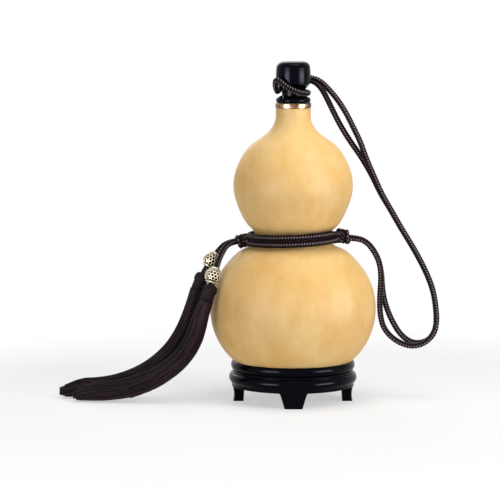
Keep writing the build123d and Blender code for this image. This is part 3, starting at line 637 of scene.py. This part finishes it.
def thread_binding(name, head_place):
    """The tie: one thread wound side by side round the neck."""
    points = []
    wound_points = thread_turns * turn_points
    for n in range(wound_points + 1):
        angle = 2 * math.pi * n / turn_points
        height = -head_l + thread_r + (binding_l - 2 * thread_r) * n / wound_points
        reach = thread_reach + thread_sway * math.sin(angle * sway_rate)
        at = Vector((reach * math.cos(angle) * MM, reach * math.sin(angle) * MM, height * MM))
        points.append(tuple(head_place @ at / MM))
    route = route_curve(points, thread_steps)
    route.data.bevel_depth = thread_r * thread_fullness * MM
    route.data.bevel_resolution = 2
    route.data.use_fill_caps = True
    return place_piece(name, bpy.data.meshes.new_from_object(route))


def silk_skirt(name, line, draw):
    """The hank's loose ends: many fine strands that leave the tie together, in locks."""
    along = distance_along(line)
    tangents = np.gradient(line, axis=0)
    tangents /= np.linalg.norm(tangents, axis=1)[:, None]
    curve = bpy.data.curves.new("strands", "CURVE")
    curve.dimensions = "3D"
    locks = []
    for n in range(lock_count):
        reach = math.sqrt(draw.random())
        angle = draw.uniform(0, 2 * math.pi)
        locks.append((reach, angle, draw.uniform(-lock_twist, lock_twist)))
    lowest = (strand_r + floor_gap) * MM
    settle = lowest + settle_depth * MM
    for strand in range(strands_in_skirt):
        lock = strand % lock_count
        reach, angle, twist = locks[lock]
        reach = min(1.0, max(reach_least, reach + draw.gauss(0, reach_scatter)))
        angle += draw.gauss(0, angle_scatter) / max(reach, angle_reach)
        length = along[-1] * (1 - outer_short * reach ** 2 - strand_short * draw.random())
        tuft = lock < tuft_count and strand // lock_count < tuft_strands
        if tuft:
            length *= tuft_least + tuft_more * lock / tuft_count
        wave_phase = draw.uniform(0, 2 * math.pi)
        wave_size = draw.uniform(wave_least, wave_most)
        spline = curve.splines.new("NURBS")
        spline.points.add(strand_points - 1)
        for n, point in enumerate(spline.points):
            share = n / (strand_points - 1)
            s = share * length
            k = min(len(line) - 1, int(np.searchsorted(along, s)))
            t = Vector(tangents[k])
            side = (Vector((0, 1, 0)) - t * t.y).normalized()
            up = t.cross(side)
            swell = math.sin(min(1.0, s / (swell_l * MM)) * math.pi / 2)
            radius = (skirt_top_r + (skirt_r - skirt_top_r) * swell) * MM
            spread = reach * (1 + spread_more * max(0.0, share - spread_start))
            if tuft:
                spread = max(spread, tuft_reach) * (1 + tuft_flare * share ** 6)
            taper = tip_taper * max(0.0, share - tip_start) / (1 - tip_start)
            spread *= 1 - taper
            turn = angle + twist * share
            wave = wave_size * MM * math.sin(wave_phase + share * wave_rate) * min(1, share * wave_growth)
            aside, above = spread * radius * math.cos(turn), spread * radius * math.sin(turn)
            offset = side * (aside + wave) + up * (above + wave)
            at = Vector(line[k]) + offset
            at.z -= taper * radius
            if at.z < settle:
                at.z = lowest + settle_depth * MM * math.exp((at.z - settle) / (settle_fade * MM))
            point.co = (*at, 1)
        spline.order_u = 3
        spline.use_endpoint_u = True
        spline.resolution_u = 1
    curve.bevel_depth = strand_r * MM
    curve.bevel_resolution = 0
    mesh = bpy.data.meshes.new_from_object(bpy.data.objects.new("strands", curve))
    return place_piece(name, mesh)


for side, cord_route, skirt_route, seed in (
    ("front", tassel_cord_front, tassel_front, 11),
    ("rear", tassel_cord_rear, tassel_rear, 23),
):
    end, before = Vector(cord_route[-1]), Vector(cord_route[-2])
    back = (before - end).normalized()
    head_place = Matrix.Translation(end * MM) @ turned_to(back)
    tie_end = tuple(end - back * head_l)
    skirt_line = line_of(route_curve([tie_end] + skirt_route, tassel_steps))
    head = tassel_head("tassel_head_fold_" + side, head_place)
    paint(head, silk)
    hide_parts("tassel_head_" + side)
    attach(head, "bottle")
    binding = thread_binding("tassel_tie_" + side, head_place)
    paint(binding, silk)
    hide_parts("tassel_binding_" + side)
    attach(binding, "bottle")
    skirt = silk_skirt("tassel_silk_" + side, skirt_line, random.Random(seed))
    paint(skirt, silk)
    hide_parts("tassel_skirt_" + side)
    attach(skirt, "bottle")
    heart_route = cord_route + [tie_end] + skirt_route[:-1]
    heart, line = braided_tube("tassel_cord_" + side + "_braid", heart_route, heart_steps)
    paint(heart, braid_silk)
    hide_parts("tassel_cord_" + side)
    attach(heart, "bottle")

# The table and the light. A white paper sheet runs out to a white surround. A soft key light
# stands at the right, weaker ones at the left, above and behind. Two broad panels in front
# show only as reflections, and draw the long highlights on the lacquer.
sheet_half = 4.0
# The object's shadow on the sheet fades out between these distances from its middle, in metres.
shadow_near, shadow_far = 0.09, 0.36
least_glow, room_light = 0.5, 0.18
lit_point = Vector((0, 0, 0.12))
panel_reach, panel_z, panel_height, panel_power = 1.1, 0.07, 0.5, 52
# The camera looks at the middle of the view, which is this wide there, in metres.
view_middle, view_width = Vector((-0.0301, 0, 0.106)), 0.350
view_distance, view_height, film_width = 2.2, math.radians(6.6), 36


def white_background(material):
    """1 where the camera, a mirror or glass looks, and 0 for the light that falls on things."""
    ray = add(material, "LightPath").outputs
    glossy = add(material, "Math", {0: ray["Is Camera Ray"], 1: ray["Is Glossy Ray"]}, operation="MAXIMUM")
    clear = {0: glossy.outputs[0], 1: ray["Is Transmission Ray"]}
    return add(material, "Math", clear, operation="MAXIMUM").outputs[0]


form = bmesh.new()
bmesh.ops.create_grid(form, x_segments=2, y_segments=2, size=sheet_half)
sheet = link_piece("white_sheet", form, smooth=False)
sheet_white, shader = new_material("matt white paper sheet")
shader.inputs["Base Color"].default_value = linear("#EAEAEA")
shader.inputs["Roughness"].default_value = 0.9
seen = white_background(sheet_white)
place = add(sheet_white, "TexCoord").outputs["Object"]
reach = add(sheet_white, "VectorMath", {0: place}, operation="LENGTH")
away = add(
    sheet_white, "MapRange",
    {"Value": reach.outputs["Value"], "From Min": shadow_near, "From Max": shadow_far},
)
glow = add(sheet_white, "Emission", {"Color": (1, 1, 1, 1), "Strength": 1.0})
lift = add(sheet_white, "Math", {0: away.outputs[0], 1: least_glow}, operation="MAXIMUM")
fade = add(sheet_white, "Math", {0: seen, 1: lift.outputs[0]}, operation="MULTIPLY")
blended = add(sheet_white, "MixShader", {0: fade.outputs[0], 1: shader.outputs[0], 2: glow.outputs[0]})
wire(sheet_white, blended.outputs[0], sheet_white.node_tree.nodes["Material Output"].inputs["Surface"])
paint(sheet, sheet_white)

world = bpy.data.worlds.new("white studio")
world.use_nodes = True
bpy.context.scene.world = world
lit = world.node_tree.nodes["Background"]
lit.inputs["Color"].default_value = (1, 1, 1, 1)
lit.inputs["Strength"].default_value = room_light
white = add(world, "Background", {"Color": (1, 1, 1, 1), "Strength": 1.0})
mixed = add(world, "MixShader", {0: white_background(world), 1: lit.outputs[0], 2: white.outputs[0]})
wire(world, mixed.outputs[0], world.node_tree.nodes["World Output"].inputs["Surface"])


def soft_light(name, at, width, height, power):
    """A rectangular soft light that faces the point in the object's middle."""
    lamp = bpy.data.lights.new(name, "AREA")
    lamp.shape = "RECTANGLE"
    lamp.size, lamp.size_y, lamp.energy = width, height, power
    holder = bpy.data.objects.new(name, lamp)
    holder.location = at
    holder.rotation_euler = (lit_point - Vector(at)).to_track_quat("-Z", "Y").to_euler()
    bpy.context.scene.collection.objects.link(holder)
    return holder


key = soft_light("key_right", at=(0.80, -0.62, 0.62), width=0.6, height=0.6, power=7)
key.visible_glossy = False
soft_light("fill_left", at=(-0.62, -0.80, 0.50), width=0.4, height=0.6, power=2)
soft_light("top", at=(0.10, -0.20, 1.0), width=0.6, height=0.6, power=5.5)
soft_light("back", at=(-0.35, 0.85, 0.55), width=0.6, height=0.6, power=2.5)
for name, turn, width in (("strip_left", -42, 0.54), ("strip_right", 58, 0.62)):
    way = math.radians(turn)
    at = (math.sin(way) * panel_reach, -math.cos(way) * panel_reach, panel_z)
    panel = soft_light(name, at, width, panel_height, panel_power * width)
    panel.visible_diffuse = False

camera = bpy.data.cameras.new("camera")
camera.sensor_width = film_width
camera.lens = film_width * view_distance / view_width
camera.clip_end = 50
camera_stand = bpy.data.objects.new("camera", camera)
view_direction = Vector((0, -math.cos(view_height), math.sin(view_height)))
camera_stand.location = view_middle + view_distance * view_direction
camera_stand.rotation_euler = (math.pi / 2 - view_height, 0, 0)
bpy.context.scene.collection.objects.link(camera_stand)
bpy.context.scene.camera = camera_stand
bpy.context.scene.view_settings.view_transform = "Standard"
